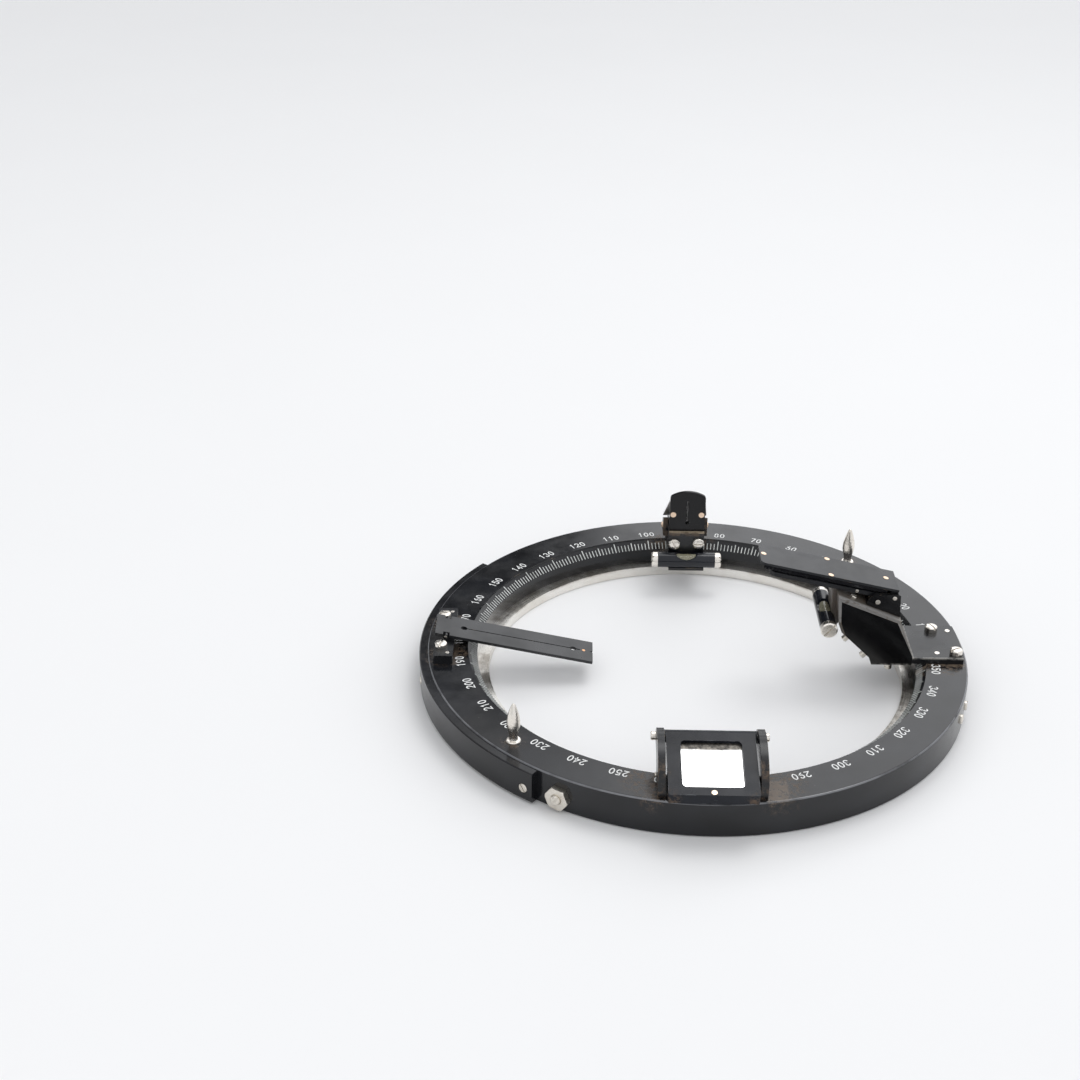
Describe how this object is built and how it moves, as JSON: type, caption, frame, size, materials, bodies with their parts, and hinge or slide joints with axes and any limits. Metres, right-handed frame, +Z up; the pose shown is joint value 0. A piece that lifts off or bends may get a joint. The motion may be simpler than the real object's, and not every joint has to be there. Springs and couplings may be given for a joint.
{
  "type": "azimuth circle",
  "caption": "Graduated ring with folding peep and far vanes, dark reflector, prism, concave mirror and level vials, for taking bearings over a compass.",
  "frame": {"origin": "on the ring axis at the flat underside, which is the lower mouth of the seat bore", "axes": "+Z up along the ring axis, +X through the far sight at 0 degrees, +Y through the prism at 90 degrees, -X the peep sight, -Y the concave mirror"},
  "size_m": [0.264, 0.2626, 0.0677],
  "materials": {
    "black_paint": "black lacquer on brass, satin, rubbed at the edges",
    "worn_brown": "thin lacquer worn to a brown-grey tarnish",
    "nickel": "nickel plate, dulled and warm",
    "brass": "bare brass pin ends",
    "dark_glass": "black polished glass",
    "optical_glass": "clear polished prism",
    "vial_glass": "clear level vial with pale yellow spirit",
    "mirror": "silvered glass"
  },
  "bodies": {
    "ring": {"base_dowels": "nickel", "card_mirror": "mirror", "card_mirror_screws": "nickel", "card_mirror_tray": "black_paint", "centring_screws": "nickel", "counterweight": "black_paint", "far_base_plate": "black_paint", "far_base_screws": "nickel", "far_level_caps": "nickel", "far_level_saddle": "worn_brown", "far_level_tube": "black_paint", "far_level_vial": "vial_glass", "finger_lug_far": "nickel", "finger_lug_near": "nickel", "housing_floor_plate": "black_paint", "housing_front_plate": "worn_brown", "housing_rear_plate": "worn_brown", "housing_screws": "nickel", "housing_side_far": "black_paint", "housing_side_near": "black_paint", "housing_top_plate": "worn_brown", "lock_nuts": "nickel", "mirror_bracket": "black_paint", "mirror_bracket_screws": "nickel", "mirror_pivot_screws": "nickel", "outer_wall_screws": "nickel", "peep_base": "black_paint", "peep_base_screws": "nickel", "peep_hinge_pin": "nickel", "prism_back_plate": "nickel", "prism_bracket": "black_paint", "prism_bracket_screws": "nickel", "prism_cheek_screws": "brass", "prism_cheeks": "black_paint", "prism_glass": "optical_glass", "prism_level_bracket": "black_paint", "prism_level_caps": "nickel", "prism_level_screws": "nickel", "prism_level_tube": "black_paint", "prism_level_vial": "vial_glass", "ring_body": "black_paint", "seat_ring": "nickel", "slit_plate": "black_paint", "slit_plate_pins": "brass", "vane_bracket": "black_paint", "vane_bracket_screws": "nickel", "vane_pivot_pin": "nickel", "vane_rest_pin": "nickel"},
    "peep_vane": {"peep_vane": "black_paint", "peep_vane_dot": "brass"},
    "far_vane": {"vane_frame": "black_paint", "sight_wire": "nickel", "wire_clamps": "nickel"},
    "reflector": {"reflector_back": "black_paint", "reflector_glass": "dark_glass", "reflector_pins": "brass"},
    "concave_mirror": {"mirror_frame": "black_paint", "concave_mirror": "mirror", "mirror_back": "black_paint", "mirror_frame_pin": "brass"}
  },
  "joints": [
    {"name": "peep_fold", "type": "hinge", "parent": "ring", "child": "peep_vane", "pos_m": [-0.1208, 0, 0.0236], "axis": [0, -1, 0], "range_deg": [0, 101]},
    {"name": "vane_fold", "type": "hinge", "parent": "ring", "child": "far_vane", "pos_m": [0.0917, 0, 0.0505], "axis": [0, 1, 0], "range_deg": [0, 78]},
    {"name": "reflector_tilt", "type": "hinge", "parent": "far_vane", "child": "reflector", "pos_m": [0.0917, 0, 0.0505], "axis": [0, 1, 0], "range_deg": [0, 60]},
    {"name": "mirror_tilt", "type": "hinge", "parent": "ring", "child": "concave_mirror", "pos_m": [0, -0.098, 0.0295], "axis": [-1, 0, 0], "range_deg": [0, 110]}
  ]
}
